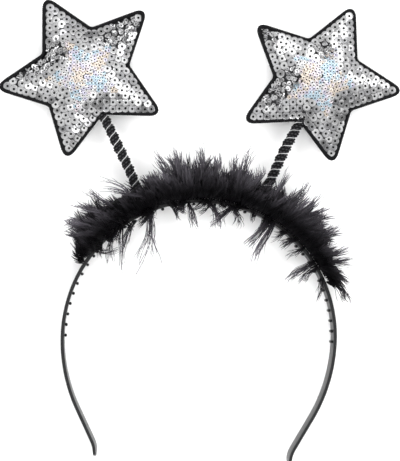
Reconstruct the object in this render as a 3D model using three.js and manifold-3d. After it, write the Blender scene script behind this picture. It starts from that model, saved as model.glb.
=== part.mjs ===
// A star headband: a black plastic hairband with grip teeth, a feather trim glued over its crown, and two
// cord-wound spring stalks that each carry a padded sequin star with an overlocked edge.
// It lies on its back edge: +X runs to the right as seen from the front, +Y from the band's tips to the
// stars, and +Z points out of the front.

import * as THREE from 'three';
import { mergeVertices } from 'three/addons/utils/BufferGeometryUtils.js';
import Module from 'manifold-3d';

const wasm = await Module();
wasm.setup();

// Driving dimensions in millimetres and degrees. Neighbouring pieces stand a gap apart, and the soft ones
// keep a clearance to the surface that the band lies on.
const GAP = 0.3;
const FLOOR_CLEARANCE = 0.3;

// Band: a strip of constant width, bent on edge about the crown's centre. Its outer face runs from the crown's
// top to each tip, and the strip is turned a little clockwise from the trim and the stalks.
const CROWN_CENTRE = new THREE.Vector3(1.7, -49.8, 0);
const BAND_TURN = 2;
const BAND_RADIUS = 65.8;
const BAND_WIDTH = 8;
const CROWN_THICKNESS = 1.9;
const TIP_THICKNESS = 1.5;
const EDGE_CHAMFER = 0.3;
const TIP_ROUNDING = 3.2;
const TIP_SEGMENTS = 4;
const BAND_RUNS = [
  { run: 'crown', length: (BAND_RADIUS * Math.PI) / 2, turn: 90, steps: 18 },
  { run: 'cheek', length: 38, turn: 28, steps: 6 },
  { run: 'arm', length: 17, turn: 0, steps: 1 },
  { run: 'hook', length: 5, turn: -24, steps: 4 },
  { run: 'tip', length: 2.2, turn: 0, steps: 1 },
];

// Grip teeth: round pegs along the inner face of the crown, in a row that is shifted a little to the left.
const TEETH_A_SIDE = 20;
const TEETH_SHIFT = -1.7;
const TOOTH_PITCH = 5.2;
const TOOTH_RADIUS = 0.8;
const TOOTH_RISE = 1.25;
const TOOTH_SPAN = 4;
const TOOTH_SIDES = 5;

// Stalks: a spring wound with cord, leaning out from the crown. base is where it stands on the crown's arc, and
// turn is how far its star is turned from it.
const STALKS = [
  { side: 'left', base: -24.7, lean: -25.7, turn: -2.5 },
  { side: 'right', base: 23.3, lean: 24.4, turn: 0 },
];
const STALK_LENGTH = 49.2;
const STALK_RADIUS = 2.3;
const STALK_HEIGHT = 5.2;
const STALK_FOOT = 0.7;
const STALK_INSERT = 4.5;
const CORD_PITCH = 4.2;
const CORD_RELIEF = 0.25;
const CORD_SIDES = 8;
const CORD_STEPS = 4;
const STALK_ROOM_SIDES = 12;

// Stars: tip and notch are the corners before rounding, on a finished outline that includes the edging.
const STAR_POINTS = 5;
const STAR_TIP = 40.8;
const STAR_NOTCH = 20.9;
const STAR_CORNERS = {
  tip: { radius: STAR_TIP, round: 4.8, segments: 4 },
  notch: { radius: STAR_NOTCH, round: 2.2, segments: 2 },
};
const EDGING_WIDTH = 2.4;
const EDGING_HEIGHT = 3.6;
const EDGING_SIDES = 6;

// Pad: its rim is thin and its middle is puffed. Rings are shares of its half width, from the middle of the
// back round to the middle of the front, and a higher fullness is flatter in the middle and steeper outside.
const PAD_RIM = 1.6;
const PAD_FRONT = { height: 9, fullness: 2.2, rings: [1, 0.94, 0.82, 0.62, 0.36, 0.12] };
const PAD_BACK = { height: STALK_HEIGHT - FLOOR_CLEARANCE, fullness: 3.5, rings: [0.3, 0.7, 0.9, 1] };
const PAD_SHOULDER = 0.6;
const PAD_SOFT_RADIUS = 22;

// Feather trim: its dense core, in a row for each section. at is degrees from the crown's top, out is how far
// the core stands off the band's outer face, high is its height, and over is how far it laps past the inner
// face. The core's outer side is traced in shares of out and high, and the lap in shares of its width and of
// its height over the band's edge.
const TRIM_SECTIONS = [
  { at: -57, out: 5.5, high: 10, over: -1.8 },
  { at: -50, out: 10, high: 12, over: -1 },
  { at: -41, out: 12.5, high: 14, over: -0.3 },
  { at: -30, out: 9, high: 14, over: 0.3 },
  { at: -19, out: 10.5, high: 15, over: 1 },
  { at: -8, out: 12.5, high: 15.5, over: 1.5 },
  { at: 4, out: 12.5, high: 15.5, over: 1.5 },
  { at: 14, out: 11.5, high: 15, over: 1 },
  { at: 22, out: 10, high: 14.5, over: 0.3 },
  { at: 31, out: 12, high: 14.5, over: 0 },
  { at: 42, out: 11.5, high: 14, over: -0.4 },
  { at: 52, out: 8, high: 13, over: -0.6 },
  { at: 60, out: 6.5, high: 11.5, over: -1 },
  { at: 68, out: 5, high: 10, over: -1.8 },
];
const TRIM_STEP = 7;
const CORE_PROFILE = [
  { out: 0.6, up: 0 },
  { out: 0.92, up: 0.2 },
  { out: 1, up: 0.48 },
  { out: 0.84, up: 0.8 },
  { out: 0.48, up: 1 },
];
const LAP_PROFILE = [
  { across: 0.5, up: 0.85 },
  { across: 1, up: 0.5 },
  { across: 0.8, up: 0 },
];

// Plume locks stand on the trim in rows, rooted inside the core. lift is their direction from the root, from
// straight out (0) to straight up (90) and in across the band; span is the share of the trim's length that
// the row takes, length is what shows of a lock, and lean is its slant along the band.
const LOCK_ROOT = { out: 0.45, up: 0.6 };
const LOCK_COVER = { out: 0.55, up: 0.5 };
const LOCK_ROWS = [
  { lift: -18, span: 1, count: 12, length: 7.5, width: 6, lean: 6 },
  { lift: 4, span: 1, count: 15, length: 10, width: 6, lean: -6 },
  { lift: 28, span: 1, count: 14, length: 9.5, width: 6, lean: 7 },
  { lift: 54, span: 0.98, count: 13, length: 8, width: 6, lean: -9 },
  { lift: 82, span: 0.95, count: 13, length: 6.5, width: 6, lean: 10 },
  { lift: 110, span: 0.9, count: 12, length: 8.5, width: 6, lean: -10 },
  { lift: 140, span: 0.84, count: 12, length: 10, width: 5, lean: 7 },
];
const ROW_STAGGER = [0.4, 0.85];

// One lock's form: its girth along its length, how far its ridge and keel stand over and under the spine for
// each millimetre of half width, and how far the spine arches up and its tip droops.
const LOCK_PROFILE = [
  { along: 0.2, girth: 1 },
  { along: 0.62, girth: 0.8 },
  { along: 1, girth: 0.05 },
];
const LOCK_RIDGE = 0.6;
const LOCK_KEEL = 0.5;
const LOCK_ARCH = { along: 0.6, rise: 1 };
const LOCK_DROOP = 1.5;

// Differences from lock to lock in a row. Rows that lift less than the parting's limit stand beside the
// stalks: within so many degrees of one their locks are left out, or swept away from it.
const LOCK_GROWTH = [1.2, 0.75, 1, 0.85];
const LOCK_SWAY = [1, -0.5, 0.6, -1, 0.2];
const STALK_PARTING = { limit: 60, bare: 2.4, swept: 9 };

const MERGE_TOLERANCE = 1e-4;
const UP = new THREE.Vector3(0, 0, 1);
const { degToRad, lerp, radToDeg, smoothstep } = THREE.MathUtils;

// Skin over a stack of rings that have equal point counts. A wrapped stack joins its last ring to its
// first, and any other is closed by a fan of triangles at each end.
function skin(rings, wrapped = false) {
  const count = rings[0].length;
  const points = rings.flat();
  const faces = [];
  const spans = wrapped ? rings.length : rings.length - 1;
  for (let i = 0; i < spans; i += 1) {
    const here = i * count;
    const next = ((i + 1) % rings.length) * count;
    for (let j = 0; j < count; j += 1) {
      const k = (j + 1) % count;
      faces.push([here + j, here + k, next + k], [here + j, next + k, next + j]);
    }
  }
  if (!wrapped) {
    const start = points.length;
    const last = (rings.length - 1) * count;
    points.push(middle(rings[0]), middle(rings[rings.length - 1]));
    for (let j = 0; j < count; j += 1) {
      const k = (j + 1) % count;
      faces.push([start, k, j], [start + 1, last + j, last + k]);
    }
  }
  const inverted = signedVolume(points, faces) < 0;
  const geometry = new THREE.BufferGeometry().setFromPoints(points);
  geometry.setIndex(faces.flatMap(([a, b, c]) => (inverted ? [a, c, b] : [a, b, c])));
  return geometry;
}

function middle(ring) {
  return ring.reduce((sum, point) => sum.add(point), new THREE.Vector3()).divideScalar(ring.length);
}

function signedVolume(points, faces) {
  const cross = new THREE.Vector3();
  return faces.reduce((sum, [a, b, c]) => sum + points[a].dot(cross.crossVectors(points[b], points[c])), 0);
}

// A geometry as a solid that can be joined and cut.
function solid(geometry) {
  const bare = new THREE.BufferGeometry();
  bare.setAttribute('position', geometry.getAttribute('position'));
  bare.setIndex(geometry.index);
  const merged = mergeVertices(bare, MERGE_TOLERANCE);
  return new wasm.Manifold(new wasm.Mesh({
    numProp: 3,
    vertProperties: new Float32Array(merged.getAttribute('position').array),
    triVerts: new Uint32Array(merged.index.array),
  }));
}

function geometryOf(body) {
  const { vertProperties, triVerts } = body.getMesh();
  const geometry = new THREE.BufferGeometry();
  geometry.setAttribute('position', new THREE.BufferAttribute(vertProperties, 3));
  geometry.setIndex(new THREE.BufferAttribute(triVerts, 1));
  return geometry;
}

function namedMesh(name, geometry, finish) {
  geometry.computeVertexNormals();
  const mesh = new THREE.Mesh(geometry, new THREE.MeshStandardMaterial(finish));
  mesh.name = name;
  return mesh;
}

// Place on a circle about the origin, at an angle clockwise from +Y and a height off the surface.
function onCircle(radius, angle, height) {
  const turn = degToRad(angle);
  return new THREE.Vector3(radius * Math.sin(turn), radius * Math.cos(turn), height);
}

// The same about the crown's centre.
function onCrown(radius, angle, height) {
  return onCircle(radius, angle, height).add(CROWN_CENTRE);
}

const BAND_HALF_LENGTH = BAND_RUNS.reduce((sum, { length }) => sum + length, 0);

function bandThickness(along) {
  return lerp(CROWN_THICKNESS, TIP_THICKNESS, along / BAND_HALF_LENGTH);
}

// Outer and inner faces of one half of the band, traced run by run from the crown's top to the tip.
function bandFaces() {
  let heading = 0;
  let along = 0;
  const point = new THREE.Vector2(0, BAND_RADIUS);
  const outer = [];
  const inner = [];
  const mark = () => {
    const inward = new THREE.Vector2(Math.sin(heading), -Math.cos(heading));
    outer.push(point.clone());
    inner.push(point.clone().addScaledVector(inward, bandThickness(along)));
  };
  mark();
  for (const { length, turn, steps } of BAND_RUNS) {
    const arc = length / steps;
    const bend = degToRad(turn) / steps;
    const chord = bend === 0 ? arc : ((2 * arc) / bend) * Math.sin(bend / 2);
    for (let i = 0; i < steps; i += 1) {
      const course = heading - bend / 2;
      point.add(new THREE.Vector2(Math.cos(course), Math.sin(course)).multiplyScalar(chord));
      heading -= bend;
      along += arc;
      mark();
    }
  }
  return { outer, inner };
}

// Slab whose lower end is rounded across the strip's width, to round off both tips.
function tipRounder(tipY) {
  const top = BAND_RADIUS + BAND_WIDTH;
  const span = 4 * BAND_RADIUS;
  const side = new THREE.Shape();
  side.moveTo(top, 0);
  side.lineTo(top, BAND_WIDTH);
  side.absarc(tipY + TIP_ROUNDING, BAND_WIDTH - TIP_ROUNDING, TIP_ROUNDING, Math.PI / 2, Math.PI);
  side.absarc(tipY + TIP_ROUNDING, TIP_ROUNDING, TIP_ROUNDING, Math.PI, 1.5 * Math.PI);
  const slab = new THREE.ExtrudeGeometry(side, {
    depth: span,
    bevelEnabled: false,
    curveSegments: TIP_SEGMENTS,
  });
  const lengthwise = new THREE.Vector3(0, 1, 0);
  const sideways = new THREE.Vector3(1, 0, 0);
  const upright = new THREE.Matrix4().makeBasis(lengthwise, UP, sideways);
  return slab.applyMatrix4(upright).translate(-span / 2, 0, 0);
}

// The band about the crown's centre, with its teeth.
function bandGeometry() {
  const { outer, inner } = bandFaces();
  const mirror = ({ x, y }) => new THREE.Vector2(-x, y);
  const outline = new THREE.Shape([
    ...outer,
    ...inner.toReversed(),
    ...inner.slice(1).map(mirror),
    ...outer.slice(1).map(mirror).toReversed(),
  ]);
  const strip = new THREE.ExtrudeGeometry(outline, {
    depth: BAND_WIDTH - 2 * EDGE_CHAMFER,
    bevelThickness: EDGE_CHAMFER,
    bevelSize: EDGE_CHAMFER,
    bevelOffset: -EDGE_CHAMFER,
    bevelSegments: 1,
  }).translate(0, 0, EDGE_CHAMFER);
  const tipY = outer[outer.length - 1].y;
  let band = solid(strip).intersect(solid(tipRounder(tipY + EDGE_CHAMFER)));

  for (let i = -TEETH_A_SIDE; i <= TEETH_A_SIDE; i += 1) {
    const along = i * TOOTH_PITCH + TEETH_SHIFT;
    const angle = radToDeg(along / BAND_RADIUS);
    const crest = BAND_RADIUS - bandThickness(Math.abs(along)) - TOOTH_RISE;
    const place = onCircle(crest + TOOTH_RADIUS, angle, BAND_WIDTH / 2);
    const peg = new THREE.CylinderGeometry(TOOTH_RADIUS, TOOTH_RADIUS, TOOTH_SPAN, TOOTH_SIDES);
    band = band.add(solid(peg.rotateX(Math.PI / 2).translate(place.x, place.y, place.z)));
  }
  return geometryOf(band);
}

// Trim sizes at an angle, eased between the rows of the table.
function trimSize(at) {
  const next = Math.max(1, TRIM_SECTIONS.findIndex((row) => row.at >= at));
  const [from, to] = [TRIM_SECTIONS[next - 1], TRIM_SECTIONS[next]];
  const share = smoothstep(at, from.at, to.at);
  return {
    out: lerp(from.out, to.out, share),
    high: lerp(from.high, to.high, share),
    over: lerp(from.over, to.over, share),
  };
}

// One section of the trim's core: a plump outer side, laid on the surface, that laps over the band's edge.
function trimSection(at) {
  const { out, high, over } = trimSize(at);
  const ledge = BAND_WIDTH + 2 * GAP;
  const lap = -CROWN_THICKNESS - over;
  return [
    [GAP, FLOOR_CLEARANCE],
    ...CORE_PROFILE.map((spot) => [spot.out * out, Math.max(FLOOR_CLEARANCE, spot.up * high)]),
    ...LAP_PROFILE.map(({ across, up }) => [across * lap, lerp(ledge, high, up)]),
    [GAP, ledge],
  ].map(([off, height]) => onCrown(BAND_RADIUS + off, at, height));
}

// One lock: a tapered plume, three-sided, that bends from its root in the trim's core to its own tip.
function lockGeometry(at, { lift, length, width, lean }) {
  const { out, high } = trimSize(at);
  const [run, rise] = [Math.cos(degToRad(lift)), Math.sin(degToRad(lift))];
  const covered = 1 / Math.hypot(run / (LOCK_COVER.out * out), rise / (LOCK_COVER.up * high));
  const reach = covered + length;
  const slant = radToDeg(lean / BAND_RADIUS);
  const lowest = FLOOR_CLEARANCE + (LOCK_KEEL * width) / 2;
  const spot = (along, raise) => onCrown(
    BAND_RADIUS + LOCK_ROOT.out * out + along * reach * run,
    at + slant * along * along,
    Math.max(lowest, LOCK_ROOT.up * high + along * reach * rise + raise),
  );
  const bend = spot(LOCK_ARCH.along, LOCK_ARCH.rise);
  const spine = new THREE.QuadraticBezierCurve3(spot(0, 0), bend, spot(1, -LOCK_DROOP));
  const rings = LOCK_PROFILE.map(({ along, girth }) => {
    const centre = spine.getPoint(along);
    const forward = spine.getTangent(along);
    const across = new THREE.Vector3().crossVectors(forward, UP).setLength((girth * width) / 2);
    const over = new THREE.Vector3().crossVectors(across, forward);
    const keel = centre.clone().addScaledVector(over, -LOCK_KEEL);
    return [centre.addScaledVector(over, LOCK_RIDGE), keel.clone().add(across), keel.clone().sub(across)];
  });
  return skin(rings);
}

// Locks of one row, with staggered places, lengths and slants, parted by the stalks.
function lockRow(row, rowIndex, first, last) {
  const locks = [];
  const places = row.count - 1 + ROW_STAGGER[0] + ROW_STAGGER[1];
  for (let i = 0; i < row.count; i += 1) {
    const share = (i + ROW_STAGGER[rowIndex % 2]) / places;
    const at = lerp(first, last, 0.5 + row.span * (share - 0.5));
    const length = row.length * LOCK_GROWTH[(i + rowIndex) % LOCK_GROWTH.length];
    let lean = row.lean * LOCK_SWAY[i % LOCK_SWAY.length];
    const aside = STALKS.map(({ base }) => at - base).sort((a, b) => Math.abs(a) - Math.abs(b))[0];
    const parted = row.lift < STALK_PARTING.limit;
    if (parted && Math.abs(aside) < STALK_PARTING.swept) {
      lean = Math.sign(aside) * Math.abs(lean);
    }
    if (!parted || Math.abs(aside) > STALK_PARTING.bare) {
      locks.push(lockGeometry(at, { ...row, length, lean }));
    }
  }
  return locks;
}

function trimGeometry(stalkRooms) {
  const [first, last] = [TRIM_SECTIONS[0].at, TRIM_SECTIONS[TRIM_SECTIONS.length - 1].at];
  const spans = Math.round((last - first) / TRIM_STEP);
  const sections = Array.from({ length: spans + 1 }, (_, i) => trimSection(lerp(first, last, i / spans)));
  const locks = LOCK_ROWS.flatMap((row, rowIndex) => lockRow(row, rowIndex, first, last));
  let trim = solid(skin(sections));
  for (const lock of locks) {
    trim = trim.add(solid(lock));
  }
  for (const room of stalkRooms) {
    trim = trim.subtract(solid(room));
  }
  return geometryOf(trim);
}

// Stalk: one turn of wound cord per pitch, as a helical ridge. It stands on Y from the band's face.
function stalkGeometry() {
  const length = STALK_LENGTH + STALK_INSERT - STALK_FOOT;
  const steps = Math.round((length / CORD_PITCH) * CORD_STEPS);
  const rings = Array.from({ length: steps + 1 }, (_, step) => {
    const along = STALK_FOOT + (length * step) / steps;
    return Array.from({ length: CORD_SIDES }, (__, side) => {
      const turn = (2 * Math.PI * side) / CORD_SIDES;
      const radius = STALK_RADIUS + CORD_RELIEF * Math.cos(turn + (2 * Math.PI * along) / CORD_PITCH);
      return new THREE.Vector3(radius * Math.cos(turn), along, radius * Math.sin(turn));
    });
  });
  return skin(rings);
}

// Space around a stalk, which its neighbours leave free.
function stalkRoom() {
  const radius = STALK_RADIUS + CORD_RELIEF + GAP;
  const length = STALK_LENGTH + STALK_INSERT + GAP;
  return new THREE.CylinderGeometry(radius, radius, length, STALK_ROOM_SIDES).translate(0, length / 2, 0);
}

// Star outline about its centre, with one tip on +Y and rounded corners.
const STAR_OUTLINE = (() => {
  const kind = (index) => (index % 2 === 0 ? STAR_CORNERS.tip : STAR_CORNERS.notch);
  const corner = (index) => {
    const turn = (Math.PI * index) / STAR_POINTS;
    return new THREE.Vector2(Math.sin(turn), Math.cos(turn)).multiplyScalar(kind(index).radius);
  };
  const outline = [];
  for (let index = 0; index < 2 * STAR_POINTS; index += 1) {
    const here = corner(index);
    const next = corner(index + 1);
    const { round, segments } = kind(index);
    const towards = (there) => here.clone().add(there.clone().sub(here).setLength(round));
    const bend = new THREE.QuadraticBezierCurve(towards(corner(index - 1)), here, towards(next));
    outline.push(...bend.getPoints(segments), here.clone().lerp(next, 0.5));
  }
  return outline;
})();

// Distance from the star's centre to its straight sides, which an even inset shortens in proportion.
const STAR_APOTHEM = (() => {
  const turn = Math.PI / STAR_POINTS;
  const side = Math.hypot(STAR_TIP - STAR_NOTCH * Math.cos(turn), STAR_NOTCH * Math.sin(turn));
  return (STAR_TIP * STAR_NOTCH * Math.sin(turn)) / side;
})();

// The star's outline drawn in by an even inset, softened towards a circle by a share from 0 to 1.
function starLoop(inset, height, softness = 0) {
  const scale = 1 - inset / STAR_APOTHEM;
  return STAR_OUTLINE.map((point) => {
    const soft = point.clone().setLength(lerp(point.length(), PAD_SOFT_RADIUS, softness));
    return new THREE.Vector3(soft.x * scale, soft.y * scale, height);
  });
}

// Edging: thread overlocked round the star's edge, as a rounded roll.
function edgingGeometry(room) {
  const loops = Array.from({ length: EDGING_SIDES }, (_, side) => {
    const turn = (2 * Math.PI * side) / EDGING_SIDES;
    const inset = 0.5 * EDGING_WIDTH * (1 - Math.cos(turn));
    return starLoop(inset, 0.5 * EDGING_HEIGHT * Math.sin(turn));
  });
  return geometryOf(solid(skin(loops, true)).subtract(solid(room)));
}

// Pad: a stuffed star, crowned in front and flatter behind where it rests.
function padGeometry(room) {
  const rim = EDGING_WIDTH + GAP;
  const halfWidth = STAR_APOTHEM - rim;
  const loops = ({ height, fullness, rings }, facing) => rings.map((share) => {
    const puff = Math.pow(1 - Math.pow(share, fullness), PAD_SHOULDER);
    const inset = rim + halfWidth * (1 - share);
    return starLoop(inset, facing * lerp(PAD_RIM / 2, height, puff), 1 - share * share);
  });
  const body = skin([...loops(PAD_BACK, -1), ...loops(PAD_FRONT, 1)]);
  return geometryOf(solid(body).subtract(solid(room)));
}

// Finishes, as the pieces show them.
const PLASTIC = { color: 0x2b2b2e, roughness: 0.42, metalness: 0 };
const FEATHER = { color: 0x141416, roughness: 0.85, metalness: 0 };
const CORD = { color: 0x17171a, roughness: 0.6, metalness: 0 };
const SEQUINS = { color: 0xb9babd, roughness: 0.25, metalness: 0.9 };
const THREAD = { color: 0x101012, roughness: 0.8, metalness: 0 };

const headband = new THREE.Group();
const band = namedMesh('band', bandGeometry(), PLASTIC);
band.position.copy(CROWN_CENTRE);
band.rotation.z = -degToRad(BAND_TURN);
headband.add(band);

const stalkRooms = [];
for (const { side, base, lean, turn } of STALKS) {
  const bopper = new THREE.Group();
  bopper.position.copy(onCrown(BAND_RADIUS, base, STALK_HEIGHT));
  bopper.rotation.z = -degToRad(lean);
  bopper.updateMatrix();
  bopper.add(namedMesh(`stalk_${side}`, stalkGeometry(), CORD));

  const seat = new THREE.Group();
  seat.position.y = STALK_LENGTH;
  seat.rotation.z = -degToRad(turn);
  const room = stalkRoom().translate(0, -STALK_LENGTH, 0).rotateZ(degToRad(turn)).translate(0, -STAR_NOTCH, 0);
  const star = new THREE.Group();
  star.position.y = STAR_NOTCH;
  star.add(namedMesh(`star_pad_${side}`, padGeometry(room), SEQUINS));
  star.add(namedMesh(`star_edging_${side}`, edgingGeometry(room), THREAD));
  seat.add(star);
  bopper.add(seat);
  headband.add(bopper);
  stalkRooms.push(stalkRoom().applyMatrix4(bopper.matrix));
}
headband.add(namedMesh('feather_trim', trimGeometry(stalkRooms), FEATHER));

export default headband;
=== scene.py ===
import math

import bpy
import numpy as np
from mathutils import Matrix, Vector
from mathutils.bvhtree import BVHTree


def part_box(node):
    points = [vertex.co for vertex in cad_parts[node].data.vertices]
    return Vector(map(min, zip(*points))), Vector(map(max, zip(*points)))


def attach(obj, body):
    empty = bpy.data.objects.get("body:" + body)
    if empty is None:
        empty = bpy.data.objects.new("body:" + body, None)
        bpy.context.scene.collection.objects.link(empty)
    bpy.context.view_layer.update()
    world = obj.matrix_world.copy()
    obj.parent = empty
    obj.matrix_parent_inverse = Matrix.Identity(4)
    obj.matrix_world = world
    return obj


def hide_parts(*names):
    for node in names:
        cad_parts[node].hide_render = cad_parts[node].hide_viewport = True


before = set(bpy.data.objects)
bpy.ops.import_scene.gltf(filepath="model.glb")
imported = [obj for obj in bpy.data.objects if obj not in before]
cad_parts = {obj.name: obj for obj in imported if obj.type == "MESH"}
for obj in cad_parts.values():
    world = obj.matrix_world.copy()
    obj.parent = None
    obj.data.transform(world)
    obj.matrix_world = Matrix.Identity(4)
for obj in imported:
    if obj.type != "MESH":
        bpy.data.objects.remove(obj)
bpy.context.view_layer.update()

# Band: one strip of black moulded plastic, bent on edge into a hairband that lies on its back edge.
# Its long edges and tips are rounded, the tips flare out, and a row of round grip teeth is moulded
# along the inner face of the crown. The legs are a little twisted, so their inner faces show.
MM = 0.001
CROWN_CENTRE = np.array([1.7, -49.8, 0]) * MM
BAND_TURN = 2.0  # degrees clockwise, against the stalks and the trim
LEG_TWIST = {"left": 9.0, "right": 1.0}  # degrees at the tip
BAND_RADIUS = 65.8 * MM
CROWN_THICKNESS, TIP_THICKNESS = 1.9 * MM, 1.5 * MM
EDGE_ROUND, EDGE_STEPS = 0.5 * MM, 5
TIP_ROUNDING, TIP_NARROWING = 3.2 * MM, 0.9
BAND_STEP = 1.0 * MM
BAND_RUNS = (  # from the crown's top to a tip: length, turn in degrees
    (BAND_RADIUS * math.pi / 2, 90),
    (38 * MM, 28),
    (17 * MM, 0),
    (5 * MM, -24),
    (2.2 * MM, 0),
)
TEETH_A_SIDE, TEETH_SHIFT, TOOTH_PITCH = 20, -1.7 * MM, 5.2 * MM
TOOTH_RADIUS, TOOTH_RISE, TOOTH_SPAN = 0.72 * MM, 1.25 * MM, 4 * MM
TOOTH_SIDES, TOOTH_DOME_STEPS, TOOTH_POLE = 12, 3, 0.1
BAND_GLOSS = (0.24, 0.42)  # roughness, least and most


def skin(rings, wrapped=False):
    """Points and triangles of a closed skin over rings, an array by ring, corner and axis."""
    rings = np.asarray(rings, float)
    count, sides = rings.shape[:2]
    points = rings.reshape(-1, 3)
    here = np.arange(count if wrapped else count - 1)[:, None] * sides
    there = (here + sides) % (count * sides)
    corner = np.arange(sides)[None, :]
    beside = (corner + 1) % sides
    quads = np.stack([here + corner, here + beside, there + beside, there + corner], axis=-1).reshape(-1, 4)
    faces = [quads[:, [0, 1, 2]], quads[:, [0, 2, 3]]]
    if not wrapped:
        rim, last = np.arange(sides), (count - 1) * sides
        middle = np.full(sides, len(points))
        faces.append(np.stack([middle, np.roll(rim, -1), rim], axis=-1))
        faces.append(np.stack([middle + 1, last + rim, last + np.roll(rim, -1)], axis=-1))
        points = np.concatenate([points, rings[[0, -1]].mean(axis=1)])
    faces = np.concatenate(faces)
    corners = points[faces]
    volume = np.einsum("ij,ij->", corners[:, 0], np.cross(corners[:, 1], corners[:, 2]))
    return points, faces if volume > 0 else faces[:, ::-1]


def joined(parts):
    """One list of points and one of triangles from several."""
    starts = np.cumsum([0] + [len(points) for points, _ in parts[:-1]])
    points = np.concatenate([points for points, _ in parts])
    return points, np.concatenate([faces + start for (_, faces), start in zip(parts, starts)])


def build_piece(name, points, faces, material, slot):
    """A smooth mesh object in the shared frame that rides on the part's one body."""
    mesh = bpy.data.meshes.new(name)
    mesh.vertices.add(len(points))
    mesh.vertices.foreach_set("co", np.asarray(points, np.float32).ravel())
    mesh.loops.add(faces.size)
    mesh.loops.foreach_set("vertex_index", np.ascontiguousarray(faces, np.int32).ravel())
    mesh.polygons.add(len(faces))
    mesh.polygons.foreach_set("loop_start", np.arange(0, faces.size, faces.shape[1], dtype=np.int32))
    mesh.update(calc_edges=True)
    mesh.shade_smooth()
    mesh.materials.append(material)
    piece = bpy.data.objects.new(name, mesh)
    bpy.context.scene.collection.objects.link(piece)
    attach(piece, "root")
    return piece


def unit(vectors):
    """Vectors scaled to length one."""
    return vectors / np.maximum(np.linalg.norm(vectors, axis=-1, keepdims=True), 1e-9)


def on_circle(radius, degrees, height):
    """Points on circles about the origin, by angle clockwise from +y and height."""
    turn = np.radians(degrees)
    return np.stack(np.broadcast_arrays(radius * np.sin(turn), radius * np.cos(turn), height), axis=-1)


def on_crown(radius, degrees, height):
    """The same about the crown's centre."""
    return CROWN_CENTRE + on_circle(radius, degrees, height)


def clockwise(degrees):
    """Axes turned clockwise as seen from the front, as rows."""
    turn = math.radians(degrees)
    return np.array([[math.cos(turn), -math.sin(turn), 0], [math.sin(turn), math.cos(turn), 0], [0, 0, 1]])


def even_turns(count):
    """Even angles once round a circle."""
    return np.linspace(0, 2 * math.pi, count, endpoint=False)


def band_trace():
    """Rows of distance from the crown's top, place x and y and heading along half of the outer face."""
    along, x, y, heading = 0.0, 0.0, BAND_RADIUS, 0.0
    rows = [(along, x, y, heading)]
    for length, turn in BAND_RUNS:
        steps = max(2, round(length / BAND_STEP))
        for _ in range(steps):
            heading -= math.radians(turn) / steps / 2
            x += length / steps * math.cos(heading)
            y += length / steps * math.sin(heading)
            heading -= math.radians(turn) / steps / 2
            along += length / steps
            rows.append((along, x, y, heading))
    return np.array(rows)


band_low, band_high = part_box("band")
band_width = band_high.z - band_low.z
band_middle = (band_high.z + band_low.z) / 2

along, x, y, heading = band_trace().T
half_length = along[-1]
thickness = CROWN_THICKNESS + (TIP_THICKNESS - CROWN_THICKNESS) * along / half_length
to_tip = np.minimum(half_length - along, TIP_ROUNDING)
half_width = band_width / 2 - TIP_ROUNDING + np.sqrt(TIP_ROUNDING**2 - (TIP_ROUNDING - to_tip) ** 2)
half_width = np.maximum(half_width, band_width / 2 - TIP_NARROWING * TIP_ROUNDING)
corner_turns = np.linspace(0, math.pi / 2, EDGE_STEPS)
rounding = np.concatenate([[(quarter, turn) for turn in corner_turns] for quarter in range(4)])


def half_band(twist):
    """Rings of one half from the crown's top to a tip, its leg twisted by some degrees at the tip."""
    rings = []
    leg = np.clip((along - BAND_RUNS[0][0] / 2) / (half_length - BAND_RUNS[0][0] / 2), 0, 1)
    for place_x, place_y, course, thick, half, share in zip(x, y, heading, thickness, half_width, leg):
        inward = np.array([math.sin(course), -math.cos(course)])
        turn = rounding[:, 0] * math.pi / 2 + rounding[:, 1]
        centre_in = np.where(np.isin(rounding[:, 0], (0, 3)), thick - EDGE_ROUND, EDGE_ROUND)
        centre_up = np.where(rounding[:, 0] < 2, half - EDGE_ROUND, EDGE_ROUND - half)
        depth = centre_in + EDGE_ROUND * np.cos(turn) - thick / 2
        rise = centre_up + EDGE_ROUND * np.sin(turn)
        lean = math.radians(twist) * share
        inset = thick / 2 + depth * math.cos(lean) - rise * math.sin(lean)
        height = band_middle + rise * math.cos(lean) + depth * math.sin(lean)
        rings.append(np.column_stack([place_x + inward[0] * inset, place_y + inward[1] * inset, height]))
    return np.array(rings)


left_half = half_band(LEG_TWIST["left"])[:0:-1] * (-1, 1, 1)
band_parts = [skin(np.concatenate([left_half, half_band(LEG_TWIST["right"])]))]

side_turns = even_turns(TOOTH_SIDES)
dome = np.linspace(TOOTH_POLE, math.pi / 2, TOOTH_DOME_STEPS + 1)
dome_radius = TOOTH_RADIUS * np.concatenate([np.sin(dome), np.sin(dome)[::-1]])
dome_shift = TOOTH_SPAN / 2 - TOOTH_RADIUS
dome_height = np.concatenate([-dome_shift - TOOTH_RADIUS * np.cos(dome),
                              dome_shift + TOOTH_RADIUS * np.cos(dome)[::-1]])
for index in range(-TEETH_A_SIDE, TEETH_A_SIDE + 1):
    distance = index * TOOTH_PITCH + TEETH_SHIFT
    crest = BAND_RADIUS - np.interp(abs(distance), along, thickness) - TOOTH_RISE
    foot = on_circle(crest + TOOTH_RADIUS, math.degrees(distance / BAND_RADIUS), band_middle)
    peg = np.stack([np.column_stack([radius * np.cos(side_turns), radius * np.sin(side_turns),
                                     np.full(TOOTH_SIDES, height)])
                    for radius, height in zip(dome_radius, dome_height)])
    band_parts.append(skin(peg + foot))


def new_material(name, roughness, metallic=0.0, specular=0.5):
    """A material with a Principled shader, and what is needed to add nodes to it."""
    material = bpy.data.materials.new(name)
    material.use_nodes = True
    nodes, links = material.node_tree.nodes, material.node_tree.links
    shader = nodes["Principled BSDF"]
    shader.inputs["Roughness"].default_value = roughness
    shader.inputs["Metallic"].default_value = metallic
    shader.inputs["Specular IOR Level"].default_value = specular
    return material, nodes, links, shader


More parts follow.
